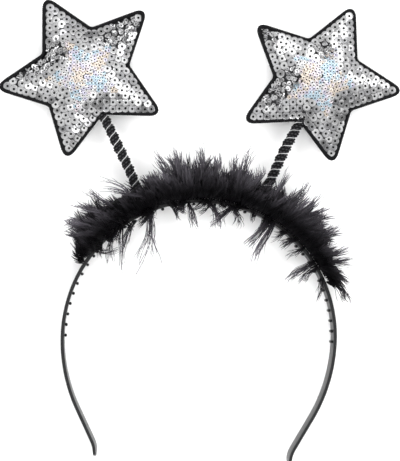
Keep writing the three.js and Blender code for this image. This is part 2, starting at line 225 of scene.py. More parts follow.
def make_mottle_group():
    """Shared effect: two tones mixed by fine noise on the object, and the noise itself."""
    group = bpy.data.node_groups.new("mottle", "ShaderNodeTree")
    for label, kind in (("Scale", "NodeSocketFloat"), ("Detail", "NodeSocketFloat"),
                        ("Dark", "NodeSocketColor"), ("Light", "NodeSocketColor")):
        group.interface.new_socket(label, in_out="INPUT", socket_type=kind)
    group.interface.new_socket("Color", in_out="OUTPUT", socket_type="NodeSocketColor")
    group.interface.new_socket("Grain", in_out="OUTPUT", socket_type="NodeSocketFloat")
    nodes, links = group.nodes, group.links
    given, result = nodes.new("NodeGroupInput"), nodes.new("NodeGroupOutput")
    coordinates, noise = nodes.new("ShaderNodeTexCoord"), nodes.new("ShaderNodeTexNoise")
    mix = nodes.new("ShaderNodeMix")
    mix.data_type = "RGBA"
    links.new(coordinates.outputs["Object"], noise.inputs["Vector"])
    links.new(given.outputs["Scale"], noise.inputs["Scale"])
    links.new(given.outputs["Detail"], noise.inputs["Detail"])
    links.new(noise.outputs["Fac"], mix.inputs["Factor"])
    links.new(given.outputs["Dark"], mix.inputs["A"])
    links.new(given.outputs["Light"], mix.inputs["B"])
    links.new(mix.outputs["Result"], result.inputs["Color"])
    links.new(noise.outputs["Fac"], result.inputs["Grain"])
    return group


mottle_group = make_mottle_group()


def add_mottle(nodes, scale, detail, dark, light):
    """The mottle group placed in a material with its own values."""
    node = nodes.new("ShaderNodeGroup")
    node.node_tree = mottle_group
    node.inputs["Scale"].default_value = scale
    node.inputs["Detail"].default_value = detail
    node.inputs["Dark"].default_value = (*dark, 1)
    node.inputs["Light"].default_value = (*light, 1)
    return node


def add_bump(nodes, links, height, shader, strength, distance):
    """Fine relief from a height socket."""
    bump = nodes.new("ShaderNodeBump")
    bump.inputs["Strength"].default_value = strength
    bump.inputs["Distance"].default_value = distance
    links.new(height, bump.inputs["Height"])
    links.new(bump.outputs["Normal"], shader.inputs["Normal"])


def make_band_plastic():
    """Black plastic with a satin moulded skin, a little uneven in gloss."""
    material, nodes, links, shader = new_material("band_plastic", roughness=0.3, specular=0.3)
    skin_tone = add_mottle(nodes, scale=900, detail=3,
                           dark=(0.007, 0.007, 0.0075), light=(0.02, 0.02, 0.021))
    gloss = nodes.new("ShaderNodeMapRange")
    gloss.inputs["To Min"].default_value, gloss.inputs["To Max"].default_value = BAND_GLOSS
    links.new(skin_tone.outputs["Color"], shader.inputs["Base Color"])
    links.new(skin_tone.outputs["Grain"], gloss.inputs["Value"])
    links.new(gloss.outputs["Result"], shader.inputs["Roughness"])
    add_bump(nodes, links, skin_tone.outputs["Grain"], shader, strength=0.12, distance=0.1 * MM)
    return material


points, faces = joined(band_parts)
band = build_piece("hair_band", CROWN_CENTRE + points @ clockwise(BAND_TURN), faces, make_band_plastic(),
                   "band_plastic")
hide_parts("band")

# Stalks: fine black cord wound edge to edge over a hidden spring, three ribs to a turn, with one silver
# thread that shows in the groove between turns. Each stands on the crown's outer face and ends in a star.
STALKS = {  # degrees: foot on the crown's arc, lean, turn of the star on it; mm: bow to the right
    "left": (-24.7, -25.7, -2.5, 0.9),
    "right": (23.3, 24.4, 0, -0.8),
}
STALK_LENGTH, STALK_HEIGHT, STALK_FOOT, STALK_INSERT = 49.2 * MM, 5.2 * MM, 0.7 * MM, 0.2 * MM
STAR_TIP, STAR_NOTCH = 42.3 * MM, 20.9 * MM
CORD_PITCH = 4.2 * MM
GROOVE_RADIUS, CORD_BULGE, RIB_HEIGHT, RIBS, CORD_UNEVEN = 1.4 * MM, 0.6 * MM, 0.55 * MM, 3, 0.3
LUMP_STEP, LUMP_WAVES = 5.3, 1.7
TWISTS, TWIST_RELIEF, TWIST_PHASE = 9, 0.2 * MM, 0.37
CORD_SIDES, CORD_STEPS = 36, 32
THREAD_RADIUS, THREAD_LIFT, THREAD_SIDES, THREAD_STEPS = 0.22 * MM, 0.24 * MM, 8, 28


def stalk_axes(side):
    """Foot of a stalk on the band, and its own axes as rows: across, along and out of the front."""
    foot, lean = STALKS[side][:2]
    return on_crown(BAND_RADIUS, foot, STALK_HEIGHT), clockwise(lean)


def bowed(side, points):
    """Points of a straight stalk, bent to one side between its ends."""
    share = points[:, 1] / STALK_LENGTH
    return points + (4 * STALKS[side][3] * MM * share * (1 - share))[:, None] * (1, 0, 0)


def wound_cord():
    """The cord's skin about the stalk's axis, ribbed along its helix, and how far each point stands out,
    which sets its painted highlight.
    """
    length = STALK_LENGTH + STALK_INSERT - STALK_FOOT
    levels = STALK_FOOT + np.linspace(0, length, round(length / CORD_PITCH * CORD_STEPS))[:, None]
    turn = even_turns(CORD_SIDES)[None, :]
    wound = levels / CORD_PITCH + turn / (2 * math.pi) + 0.5
    share = wound % 1
    uneven = 1 + CORD_UNEVEN * np.sin(LUMP_STEP * np.floor(wound)) * np.sin(LUMP_WAVES * turn)
    swell = np.sin(math.pi * share) ** 0.5
    ribs = np.abs(np.sin(RIBS * math.pi * share))
    twist = 0.5 + 0.5 * np.sin(TWISTS * turn + 2 * math.pi * np.floor(RIBS * wound) * TWIST_PHASE)
    radius = GROOVE_RADIUS + swell * uneven * (CORD_BULGE + ribs * (RIB_HEIGHT + TWIST_RELIEF * twist))
    # painted highlight: how much lighter each point is painted, most on the rib crests, broken into ticks
    # by the twist
    crest = np.append((ribs**2 * twist).ravel(), (0, 0))
    rings = np.stack([radius * np.cos(turn), levels + 0 * turn, radius * np.sin(turn)], axis=-1)
    return skin(rings), crest


def silver_thread():
    """A thin thread that lies in the cord's groove."""
    turns = (STALK_LENGTH - 4 * STALK_FOOT) / CORD_PITCH
    turn = -np.linspace(0, 2 * math.pi * turns, round(turns * THREAD_STEPS))
    level = 2 * STALK_FOOT - turn * CORD_PITCH / (2 * math.pi)
    level = level + (0.5 * CORD_PITCH - 2 * STALK_FOOT % CORD_PITCH)
    outward = np.stack([np.cos(turn), 0 * turn, np.sin(turn)], axis=-1)
    round_turn = even_turns(THREAD_SIDES)
    centre = (GROOVE_RADIUS + THREAD_LIFT) * outward + level[:, None] * (0, 1, 0)
    rings = (centre[:, None] + THREAD_RADIUS * np.cos(round_turn)[None, :, None] * outward[:, None]
             + THREAD_RADIUS * np.sin(round_turn)[None, :, None] * np.array([0, 1, 0]))
    return skin(rings)


def add_tones(nodes, links, shader, name, first, second):
    """Base colour that goes from one mottle to another by a tone that each point of the piece keeps."""
    tone, mix = nodes.new("ShaderNodeAttribute"), nodes.new("ShaderNodeMix")
    tone.attribute_name = name
    mix.data_type = "RGBA"
    links.new(tone.outputs["Fac"], mix.inputs["Factor"])
    links.new(first.outputs["Color"], mix.inputs["A"])
    links.new(second.outputs["Color"], mix.inputs["B"])
    links.new(mix.outputs["Result"], shader.inputs["Base Color"])


def make_cord_cloth():
    """Black twisted cord with a painted highlight: greyer where its strands stand out."""
    material, nodes, links, shader = new_material("stalk_cord", roughness=0.5, specular=0.05)
    fibres = add_mottle(nodes, scale=2600, detail=4,
                        dark=(0.0008, 0.0008, 0.001), light=(0.003, 0.003, 0.0035))
    # the lighter tone is a painted highlight on the rib crests
    painted_light_tone = add_mottle(nodes, scale=2600, detail=4, dark=(0.01, 0.01, 0.011), light=(0.1, 0.1, 0.106))
    add_tones(nodes, links, shader, "crest", fibres, painted_light_tone)
    add_bump(nodes, links, fibres.outputs["Grain"], shader, strength=0.5, distance=0.2 * MM)
    return material


def make_silver_thread():
    """Silver metallic thread, a little tarnished along its length."""
    material, nodes, links, shader = new_material("silver_thread", roughness=0.3, metallic=0.5)
    foil = add_mottle(nodes, scale=3000, detail=2, dark=(0.7, 0.7, 0.71), light=(1, 1, 1))
    links.new(foil.outputs["Color"], shader.inputs["Base Color"])
    add_bump(nodes, links, foil.outputs["Grain"], shader, strength=0.3, distance=0.1 * MM)
    return material


def set_colours(piece, name, colours):
    """A colour for each point of a piece, or a grey where there is one value a point."""
    layer = piece.data.color_attributes.new(name, "FLOAT_COLOR", "POINT")
    if colours.ndim == 1:
        colours = np.repeat(colours[:, None], 4, axis=1)
    layer.data.foreach_set("color", np.asarray(colours, np.float32).ravel())


cord_cloth, thread_foil = make_cord_cloth(), make_silver_thread()
for side in STALKS:
    foot, axes = stalk_axes(side)
    (points, faces), crest = wound_cord()
    points = foot + bowed(side, points) @ axes
    cord = build_piece(f"stalk_cord_{side}", points, faces, cord_cloth, "stalk_cord")
    set_colours(cord, "crest", crest)
    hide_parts(f"stalk_{side}")
    points, faces = silver_thread()
    points = foot + bowed(side, points) @ axes
    build_piece(f"stalk_thread_{side}", points, faces, thread_foil, "stalk_cord")

# Star pads: two star-shaped panels of black cloth sewn round the edge and stuffed. The front swells into
# a cushion and the back is pressed flat where it lies. Each sits on its stalk at a notch of the star.
STAR_POINTS = 5
TIP_ROUND, NOTCH_ROUND, LEAST_ROUND = 6.0 * MM, 2.2 * MM, 0.3
TIP_DRIFT = {  # mm right and up, by tip from the one far from the stalk: each star is a little askew
    "left": ((0.4, 0.5), (1.5, 3.4), (1.4, 0.4), (-1.2, 0.1), (-0.7, -0.1)),
    "right": ((-1.1, -0.6), (0.9, 0.4), (-0.7, -0.6), (-1.6, -1.5), (-2.0, -1.5)),
}
PAD_INSET, PAD_SLAB = 1.3 * MM, 2.2 * MM
PAD_FRONT, PAD_BACK, BACK_SWELL = 7.4 * MM, 4.8 * MM, 6.5 * MM
FILL_SCALE = 12
FILL_VOXEL, FILL_PRESSURE, FILL_FRAMES = 1.5 * MM, 150.0, 20
CLOTH_STRETCH, CLOTH_SHEAR, CLOTH_BEND = 6, 3, 0.3
RIM_HELD, RIM_STEP = 1.2 * MM, 0.5 * MM
KNIT_SCALE, KNIT_UNEVEN, NAP_SHEEN = 420, 1.5, 0.1


def star_place(side):
    """Centre of a star in the part's frame, and its axes as rows."""
    foot, stalk = stalk_axes(side)
    axes = clockwise(STALKS[side][1] + STALKS[side][2])
    return foot + STALK_LENGTH * stalk[1] + STAR_NOTCH * axes[1], axes


def on_star(side, points):
    """Points about a star's own centre, placed in the part's frame."""
    centre, axes = star_place(side)
    return centre + points @ axes


def star_outline(side, inset, spacing, soft=1.0):
    """Points x and y of one star's outline drawn in evenly, with round corners and one tip on +y."""
    turn = math.pi / STAR_POINTS
    edge = math.hypot(STAR_TIP - STAR_NOTCH * math.cos(turn), STAR_NOTCH * math.sin(turn))
    apothem = STAR_TIP * STAR_NOTCH * math.sin(turn) / edge
    scale = 1 - inset / apothem
    corner = np.arange(2 * STAR_POINTS)
    radii = np.where(corner % 2 == 0, STAR_TIP, STAR_NOTCH)
    corners = np.column_stack([radii * np.sin(corner * turn), radii * np.cos(corner * turn)])
    tips = np.array(TIP_DRIFT[side]) * MM @ star_place(side)[1][:2, :2].T
    corners[::2] += tips
    corners[1::2] += (tips + np.roll(tips, -1, axis=0)) / 2
    corners *= scale
    reach = np.where(corner % 2 == 0, TIP_ROUND, NOTCH_ROUND) * soft * max(scale, LEAST_ROUND)
    outline = []
    for index, here in enumerate(corners):
        after = (index + 1) % len(corners)
        to_before, to_after = unit(corners[index - 1] - here), unit(corners[after] - here)
        share = np.linspace(0, 1, max(4, round(2 * reach[index] / spacing)))[:, None]
        start, end = here + reach[index] * to_before, here + reach[index] * to_after
        outline.append((1 - share) ** 2 * start + 2 * share * (1 - share) * here + share**2 * end)
        stop = corners[after] - reach[after] * to_after
        steps = max(2, round(np.linalg.norm(stop - end) / spacing))
        outline.append(end + (stop - end) * np.linspace(0, 1, steps, endpoint=False)[1:, None])
    return np.concatenate(outline)


def stuffed_star(side):
    """Points and faces of one filled star about its centre, from a cloth simulation at a large scale."""
    outline = star_outline(side, PAD_INSET, FILL_VOXEL)
    levels = (-PAD_SLAB / 2, PAD_SLAB / 2)
    slab = skin(np.stack([np.column_stack([outline, np.full(len(outline), level)]) for level in levels]))
    mesh = bpy.data.meshes.new("fill")
    mesh.from_pydata((slab[0] * FILL_SCALE).tolist(), [], slab[1].tolist())
    filled = bpy.data.objects.new("fill", mesh)
    bpy.context.scene.collection.objects.link(filled)
    remesh = filled.modifiers.new("even_mesh", "REMESH")
    remesh.mode, remesh.voxel_size = "VOXEL", FILL_VOXEL * FILL_SCALE
    graph = bpy.context.evaluated_depsgraph_get()
    filled.data = bpy.data.meshes.new_from_object(filled.evaluated_get(graph))
    filled.modifiers.clear()
    places = np.array([vertex.co for vertex in filled.data.vertices]) / FILL_SCALE
    rim = star_outline(side, PAD_INSET, RIM_STEP)
    to_rim = np.array([np.min(np.hypot(*(rim - place[:2]).T)) for place in places])
    held = filled.vertex_groups.new(name="sewn_rim")
    held.add(np.flatnonzero(to_rim < RIM_HELD).tolist(), 1.0, "REPLACE")
    cloth = filled.modifiers.new("fill", "CLOTH").settings
    cloth.vertex_group_mass = held.name
    cloth.tension_stiffness = cloth.compression_stiffness = CLOTH_STRETCH
    cloth.shear_stiffness, cloth.bending_stiffness = CLOTH_SHEAR, CLOTH_BEND
    cloth.use_pressure, cloth.uniform_pressure_force = True, FILL_PRESSURE
    cloth.effector_weights.gravity = 0
    for step in range(1, FILL_FRAMES + 1):
        bpy.context.scene.frame_set(step)
    filled.modifiers.new("finer_mesh", "SUBSURF")
    graph = bpy.context.evaluated_depsgraph_get()
    result = bpy.data.meshes.new_from_object(filled.evaluated_get(graph))
    points = np.array([vertex.co for vertex in result.vertices]) / FILL_SCALE
    faces = np.array([list(face.vertices) for face in result.polygons])
    bpy.data.objects.remove(filled)
    bpy.context.scene.frame_set(1)
    level = points[:, 2]
    front, back = level * PAD_FRONT / level.max(), level * BACK_SWELL / -level.min()
    points[:, 2] = np.where(level > 0, front, np.maximum(back, -PAD_BACK))
    return points, faces


def make_pad_cloth():
    """Black knitted cloth: fine rows of stitches and a soft nap."""
    material, nodes, links, shader = new_material("pad_cloth", roughness=0.85, specular=0.2)
    nap = add_mottle(nodes, scale=1800, detail=4, dark=(0.006, 0.006, 0.007), light=(0.024, 0.024, 0.026))
    knit = nodes.new("ShaderNodeTexWave")
    knit.inputs["Scale"].default_value = KNIT_SCALE
    knit.inputs["Distortion"].default_value = KNIT_UNEVEN
    coordinates = nodes.new("ShaderNodeTexCoord")
    links.new(coordinates.outputs["Object"], knit.inputs["Vector"])
    links.new(nap.outputs["Color"], shader.inputs["Base Color"])
    shader.inputs["Sheen Weight"].default_value = NAP_SHEEN
    add_bump(nodes, links, knit.outputs["Fac"], shader, strength=0.4, distance=0.2 * MM)
    return material


pad_cloth = make_pad_cloth()
pad_trees = {}
for side in STALKS:
    points, faces = stuffed_star(side)
    pad_trees[side] = BVHTree.FromPolygons(points.tolist(), faces.tolist())
    pad = build_piece(f"star_cushion_{side}", on_star(side, points), faces, pad_cloth, "sequin_cloth")
    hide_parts(f"star_pad_{side}")

# Sequins: flat silver foil discs with a hole in the middle, sewn to the front panel in rows that follow
# the star's edge and lap like scales. Little holographic ones fill a smaller star in the middle, and where
# the cloth is creased the sequins stand askew.
SILVER_INSETS = (3.2, 6.1, 9.0)  # mm in from the star's edge, row by row
SILVER_PITCH, SILVER_RADIUS, SILVER_HOLE, SILVER_SPARE = 3.05 * MM, 2.0 * MM, 0.6 * MM, 0.72
HOLO_INSETS = (11.2, 12.8, 14.3, 15.8, 17.1, 18.2)
HOLO_PITCH, HOLO_RADIUS, HOLO_HOLE, HOLO_SPARE = 1.6 * MM, 1.1 * MM, 0.36 * MM, 0.78
BARE_OUT, BARE_SPARE, BARE_RINGS, BARE_STEP = 0.2, 0.78, np.linspace(1, 0.1, 19), 0.5 * MM
ROW_CORNERS, ROW_STEP = 0.05, 0.3 * MM
FOIL_THICKNESS, FOIL_CUP, FOIL_LIFT, FOIL_SIDES = 0.1 * MM, 0.05 * MM, 0.3 * MM, 12
STITCH_SIDES, STITCH_TOP, STITCH_RISE = 5, 0.9, 0.3
LAP_TILT, LAP_ROLL, LOOSE_TILT, LOOSE_DRIFT = 0.05, 0.2, 0.055, 0.04
FLATTER, SLOPE_LIFT, LOOSE_LIFT = 0.45, 0.5, (1, 1.6)
STAR_LEAN = {"left": (0.03, 0.08), "right": (-0.06, -0.02)}  # right and up, the way the rows lap over
ROW_SHIFT = {"left": (0.15, -0.15), "right": (-0.4, -0.25)}  # mm right and up, off the star's middle
RUFFLE_TILT, RUFFLE_DRIFT, RUFFLE_DEPTH, RUFFLE_SIZE = 0.5, 0.3, 5, 0.56
RUFFLES = {  # mm right and up from a star's centre, and radius, of the creases in the cloth
    "left": ((-28, 1, 4.5), (-22, 4.5, 5), (-16, 8, 5.5), (-11, 10, 4),
             (12, 17, 4), (16, 21, 5), (21, 24, 4)),
    "right": ((-19, -4, 6), (-23, -9, 4.5), (-14, 0, 5), (2, 14, 5), (-25, 20, 3.5)),
}
# The first of these darkens each disc's colour toward its rim: painted shade where the discs lap over each
# other
RIM_PAINTED_SHADE, RIM_SHARE, RIM_ANGLE = 0.6, 0.86, 40  # the last in degrees
FOOTPRINT = 1.4 * MM
SILVER_TINTS = ((0.93, 0.93, 0.94), (0.82, 0.82, 0.84), (0.97, 0.97, 0.98))
HOLO_TINTS = ((0.6, 0.76, 0.87), (0.84, 0.84, 0.85), (0.74, 0.72, 0.86), (0.84, 0.84, 0.84),
              (0.84, 0.76, 0.8), (0.86, 0.76, 0.66))
TINT_PATCH, TINT_SWING, TINT_SPREAD, TINT_RANGE = 7 / 3 * MM, 0.32, 0.33, (0.9, 1)
SILVER_FOIL, HOLO_FOIL = 1.0, 0.7
STITCH_TINT = (0.004, 0.004, 0.004, 0)


def pad_height(side, x, y):
    """Height of the stuffed front under a point."""
    hit = pad_trees[side].ray_cast(Vector((x, y, STAR_TIP)), Vector((0, 0, -1)))[0]
    return hit.z if hit else 0.0


def is_clear(place, taken, spare):
    """Whether a place is farther than a distance from every place taken so far."""
    return not taken or np.min(np.linalg.norm(np.array(taken) - place, axis=1)) > spare


def closed_run(outline):
    """An outline closed on itself, and the distance along it of each of its points."""
    closed = np.concatenate([outline, outline[:1]])
    return closed, np.concatenate([[0], np.cumsum(np.hypot(*np.diff(closed, axis=0).T))])


def row_places(side, inset, pitch, taken, spare):
    """Even places along one row, from tip to tip, with its direction, clear of those already taken."""
    outline = star_outline(side, inset * MM, ROW_STEP, ROW_CORNERS)
    closed, run = closed_run(outline)
    arm = np.round(np.arctan2(*outline.T) / (2 * math.pi / STAR_POINTS)) % STAR_POINTS
    reach = np.hypot(*outline.T)
    tips = [run[np.argmax(np.where(arm == index, reach, 0))] for index in range(STAR_POINTS)]
    places = []
    for tip, after in zip(tips, tips[1:] + [tips[0] + run[-1]]):
        for at in np.linspace(tip, after, max(1, round((after - tip) / pitch)), endpoint=False):
            place, ahead = [np.array([np.interp(spot % run[-1], run, column) for column in closed.T])
                            for spot in (at, at + spare)]
            if is_clear(place, taken, spare):
                taken.append(place)
                places.append((place, unit(ahead - place)))
    return places


def foil_disc(radius, hole, sides):
    """A thin ring about the origin, cupped toward the front."""
    turn = even_turns(sides)[:, None]
    across = np.array([[hole, RIM_SHARE * radius, radius, RIM_SHARE * radius, hole]])
    level = FOIL_CUP * (across / SILVER_RADIUS) ** 2 + FOIL_THICKNESS * np.array([[0, 0, 0, -1, -1]])
    level[0, 2] -= FOIL_THICKNESS / 2
    rings = np.stack([across * np.cos(turn), across * np.sin(turn), level + 0 * turn], axis=-1)
    return skin(rings, wrapped=True)


def stitch(hole):
    """The knot of black thread that fills a sequin's hole."""
    turn = even_turns(STITCH_SIDES)
    ring = np.column_stack([np.cos(turn), np.sin(turn), 0 * turn])
    return skin([hole * ring - (0, 0, FOIL_LIFT / 2),
                 STITCH_TOP * hole * ring + (0, 0, STITCH_RISE * FOIL_LIFT)])


def bare_places(side, inset, bare, taken):
    """Places inside a row's outline that are far from every sequin so far."""
    outline = star_outline(side, inset * MM, BARE_STEP, ROW_CORNERS)
    places = []
    for outer in BARE_RINGS:
        for place in outline[::2] * outer:
            if is_clear(place, taken, bare):
                taken.append(place)
                places.append((place, unit(np.array([-place[1], place[0]]))))
    return places


def sewn_sequins(rng, side, rows, pitch, radius, hole, tints, foil):
    """Points, triangles and colours of all sequins of one kind on one star."""
    disc_points, disc_faces = foil_disc(radius, hole, FOIL_SIDES)
    knot_points, knot_faces = stitch(hole)
    # painted shade: the rim ring of each disc gets a darker colour than the rest of the disc
    disc_painted_shade = np.tile((1, 1, RIM_PAINTED_SHADE, 1, 1), FOIL_SIDES)[:, None]
    creases = np.array(RUFFLES[side]) * MM
    to_star = star_place(side)[1][:2, :2].T
    creases[:, :2] = creases[:, :2] @ to_star
    lean, shift = STAR_LEAN[side] @ to_star, ROW_SHIFT[side] @ to_star * MM
    phase = rng.uniform(0, 2 * math.pi, 2)
    parts, colours = [], []
    for place, ahead in (spot for row in rows for spot in row):
        ruffled = np.any(np.hypot(*(creases[:, :2] - place).T) < creases[:, 2])
        tilted, drift, depth, size = LOOSE_TILT, LOOSE_DRIFT, 1, 1
        if ruffled:
            tilted, drift, depth, size = RUFFLE_TILT, RUFFLE_DRIFT, RUFFLE_DEPTH, RUFFLE_SIZE
        for _ in range(depth):
            x, y = place + shift + rng.normal(0, drift, 2) * pitch
            rise = [pad_height(side, x + step_x * FOOTPRINT, y + step_y * FOOTPRINT)
                    for step_x, step_y in ((1, 0), (-1, 0), (0, 1), (0, -1))]
            slope = np.array([rise[0] - rise[1], rise[2] - rise[3]]) / (2 * FOOTPRINT)
            tilt = rng.normal(0, tilted, 2) - LAP_TILT * ahead + lean
            normal = unit(np.array([*(tilt - FLATTER * slope), 1.0]))
            across = unit(np.cross((ahead[1], -ahead[0], LAP_ROLL), normal))
            turned = np.array([across, np.cross(normal, across), normal])
            lift = FOIL_LIFT * rng.uniform(*LOOSE_LIFT)
            lift += SLOPE_LIFT * (1 - FLATTER) * np.hypot(*slope) * radius
            centre = np.array([x, y, pad_height(side, x, y)]) + lift * normal
            parts += [(centre + size * disc_points @ turned, disc_faces),
                      (centre + size * knot_points @ turned, knot_faces)]
            wave = np.sin(x / TINT_PATCH + phase[0]) + np.sin(y / TINT_PATCH + phase[1])
            choice = 0.5 + TINT_SWING * wave + rng.normal(0, TINT_SPREAD)
            choice = min(int(np.clip(choice, 0, 1) * len(tints)), len(tints) - 1)
            tint = np.array(tints[choice]) * rng.uniform(*TINT_RANGE)
            colours += [np.column_stack([tint * disc_painted_shade, np.full(len(disc_points), foil)]),
                        np.tile(STITCH_TINT, (len(knot_points), 1))]
    return parts, colours


def make_sequin_foil():
    """Foil with each disc's own tint, darkened toward its rim by painted shade; the alpha of the tint is
    how metallic the disc is.
    """
    material, nodes, links, shader = new_material("sequin_foil", roughness=0.16)
    tint = nodes.new("ShaderNodeAttribute")
    tint.attribute_name = "tint"
    wear = add_mottle(nodes, scale=1500, detail=2, dark=(0.86, 0.86, 0.86), light=(1, 1, 1))
    mix = nodes.new("ShaderNodeMix")
    mix.data_type, mix.blend_type = "RGBA", "MULTIPLY"
    mix.inputs["Factor"].default_value = 1
    links.new(tint.outputs["Color"], mix.inputs["A"])
    links.new(wear.outputs["Color"], mix.inputs["B"])
    links.new(mix.outputs["Result"], shader.inputs["Base Color"])
    links.new(tint.outputs["Alpha"], shader.inputs["Metallic"])
    add_bump(nodes, links, wear.outputs["Grain"], shader, strength=0.15, distance=0.1 * MM)
    return material


sequin_foil = make_sequin_foil()
for side, seed in (("left", 11), ("right", 12)):
    rng = np.random.default_rng(seed)
    taken = []
    silver_rows = [row_places(side, inset, SILVER_PITCH, taken, SILVER_SPARE * SILVER_PITCH)
                   for inset in SILVER_INSETS]
    holo_rows = [row_places(side, inset, HOLO_PITCH, taken, HOLO_SPARE * HOLO_PITCH)
                 for inset in HOLO_INSETS]
    silver_rows.append(bare_places(side, SILVER_INSETS[0] - BARE_OUT, BARE_SPARE * SILVER_PITCH, taken))
    silver = sewn_sequins(rng, side, silver_rows, SILVER_PITCH, SILVER_RADIUS, SILVER_HOLE, SILVER_TINTS,
                          SILVER_FOIL)
    holo = sewn_sequins(rng, side, holo_rows, HOLO_PITCH, HOLO_RADIUS, HOLO_HOLE, HOLO_TINTS, HOLO_FOIL)
    points, faces = joined(silver[0] + holo[0])
    sequins = build_piece(f"sequins_{side}", on_star(side, points), faces, sequin_foil, "sequin_cloth")
    sequins.data.set_sharp_from_angle(angle=math.radians(RIM_ANGLE))
    set_colours(sequins, "tint", np.concatenate(silver[1] + holo[1]))

# Edging: black polyester thread overlocked round the star's sewn rim. It wraps the edges of both panels
# so closely that the rim reads as a thin ribbed roll.
EDGING_WIDTH, EDGING_HEIGHT, EDGING_OUT, EDGING_STEP = 2.2 * MM, 3.3 * MM, 0.15 * MM, 0.4 * MM
WRAP_PITCH, WRAP_RELIEF, WRAP_STEPS, WRAP_SIDES, WRAP_SLANT = 0.85 * MM, 0.12 * MM, 4, 14, 0.35


def wrapped_edge(side):
    """The roll of thread about the star's own centre."""
    closed, run = closed_run(star_outline(side, EDGING_WIDTH / 2 - EDGING_OUT, EDGING_STEP))
    wraps = round(run[-1] / WRAP_PITCH)
    at = np.linspace(0, run[-1], wraps * WRAP_STEPS, endpoint=False)
    path = np.column_stack([np.interp(at, run, column) for column in closed.T])
    ahead = unit(np.roll(path, 1 - WRAP_STEPS, axis=0) - np.roll(path, WRAP_STEPS - 1, axis=0))
    outward = np.column_stack([-ahead[:, 1], ahead[:, 0]])
    turn = even_turns(WRAP_SIDES)[None, :]
    share = at[:, None] / run[-1] * wraps + WRAP_SLANT * np.sin(turn)
    swell = WRAP_RELIEF * np.abs(np.sin(math.pi * share)) - WRAP_RELIEF
    reach = (EDGING_WIDTH / 2 + swell) * np.cos(turn)
    rise = (EDGING_HEIGHT / 2 + swell) * np.sin(turn)
    places = path[:, None] + reach[..., None] * outward[:, None]
    return skin(np.concatenate([places, rise[..., None]], axis=-1), wrapped=True)


def make_edging_thread():
    """Black polyester thread with a slight shine on each wrap."""
    material, nodes, links, shader = new_material("edging_thread", roughness=0.7, specular=0.06)
    strands = add_mottle(nodes, scale=3200, detail=3,
                         dark=(0.003, 0.003, 0.0035), light=(0.01, 0.01, 0.011))
    links.new(strands.outputs["Color"], shader.inputs["Base Color"])
    add_bump(nodes, links, strands.outputs["Grain"], shader, strength=0.5, distance=0.2 * MM)
    return material


edging_thread = make_edging_thread()
for side in STALKS:
    points, faces = wrapped_edge(side)
    points = on_star(side, points)
    edging = build_piece(f"edging_roll_{side}", points, faces, edging_thread, "edging_thread")
    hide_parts(f"star_edging_{side}")

# Feather trim: marabou plumes dyed black, bound close on a cord that is glued along the crown. Each plume
# is a short soft quill with loose downy barbs on both sides. Some barbs stray out in long tufts, and a
# short fringe shows along the trim's inner edge.
PLUMAGE = np.array([  # degrees along the crown, mm that the dense down reaches out, its lean in degrees
    (-58, 8, 25), (-54, 11.5, 18), (-50, 14, 4), (-46, 16, -12), (-42, 18, -25), (-36, 16.5, -30),
    (-30, 11.5, -28), (-25, 8, -22), (-21, 14, -18), (-15, 17, -14), (-8, 18, -8), (0, 18, 0),
    (8, 17.5, 4), (15, 16.5, 4), (20, 14.5, 5), (24, 12.5, 8), (29, 17, 6), (36, 18, 8), (42, 17, 10),
    (47, 14.5, 14), (52, 11.5, 20), (57, 9.5, 26), (61, 8, 30), (64, 7, 34), (66, 5.5, 36)])
TUFTS = (  # root and tip of each loose tuft, in degrees and mm out from the band, and its fullness
    (-50, 6, -52.5, 14.5, 6), (-46, 8, -51.5, 17.5, 7), (-40, 9, -44.6, 21.3, 6),
    (-35.5, 9, -40.3, 22.5, 5), (-28, 9, -34.3, 23.7, 2), (-27, 8, -35, 19, 3),
    (-14, 10, -16, 25, 5), (-8.5, 9, -9.8, 24.5, 7),
    (-2.5, 8, -2.8, 23.8, 9), (4, 8, 4.4, 20.6, 8), (9.5, 8, 9.8, 21.5, 8), (12.5, 9, 13.2, 26.9, 5),
    (17.5, 8, 18, 19.6, 8), (26.5, 8, 27.4, 22.7, 8), (32, 8, 33.3, 24.5, 7), (37, 8, 38.6, 23.1, 8),
    (42, 7, 43.6, 18.4, 8), (47, 6, 49.5, 18, 8), (55, 4.5, 58.5, 15.8, 9), (58, 4.5, 61.9, 15.6, 9),
    (63, 4, 68, 8.4, 7), (60.9, 6, 69.2, 9.8, 6), (66, 2, 76.1, 7, 6),
    (30.9, -1, 34.8, -24, 7), (29.5, -1, 26.5, -19, 7), (55.3, -0.5, 56.6, -17.1, 7),
    (58, -0.5, 60, -11, 6), (62.9, -1.5, 72.1, -5.9, 4), (-23, -2, -36, -32, 2), (-24, -2, -34, -20, 2),
    (-24.5, -2, -49, -24, 3), (-37, -1, -51, -20, 2), (-40, -1, -52, -10, 3), (-31, -2, -45, -11, 4),
    (-6.6, -2, -2.8, -14, 6), (1.8, -2, 9.7, -13.3, 6), (12.4, -2, 4.6, -12.4, 6),
    (12.4, -2, 17, -10.2, 5), (43, -1, 41, -8, 6), (38, -1, 35, -7, 5), (48, -1, 47, -8, 5))
PLUME_COUNT, PLUME_PIECES, PLUME_LEAN, PLUME_JITTER = 420, 3, 14, 0.6  # the last two in degrees
PLUME_TURN, SHORTEST_PLUME, FULL_PLUME = 0.35, 3 * MM, 7 * MM
ROOT_OUT, ROOT_IN, ROOT_SCATTER = 3, 4.4, (-0.6, 1.4)  # mm: lowest layer, how much less at the top
ROOT_HEIGHT, ROOT_RISE = 4, 7  # mm: lowest layer, how much more at the top
LIFT_LOW, LIFT_RISE, LIFT_DROP, COMB_SPREAD, DROP_RANGE = -12, 72, 60, 8, (0.7, 1.2)  # degrees
TOP_SHORTER, REACH_SWAY, REACH_SPREAD, BARB_PAST = 0.28, 0.2, 0.14, 0.42
SWAYS = ((8, 5), (13, -4), (21, 3))  # degrees along the crown of each wave, and its drift over the layers
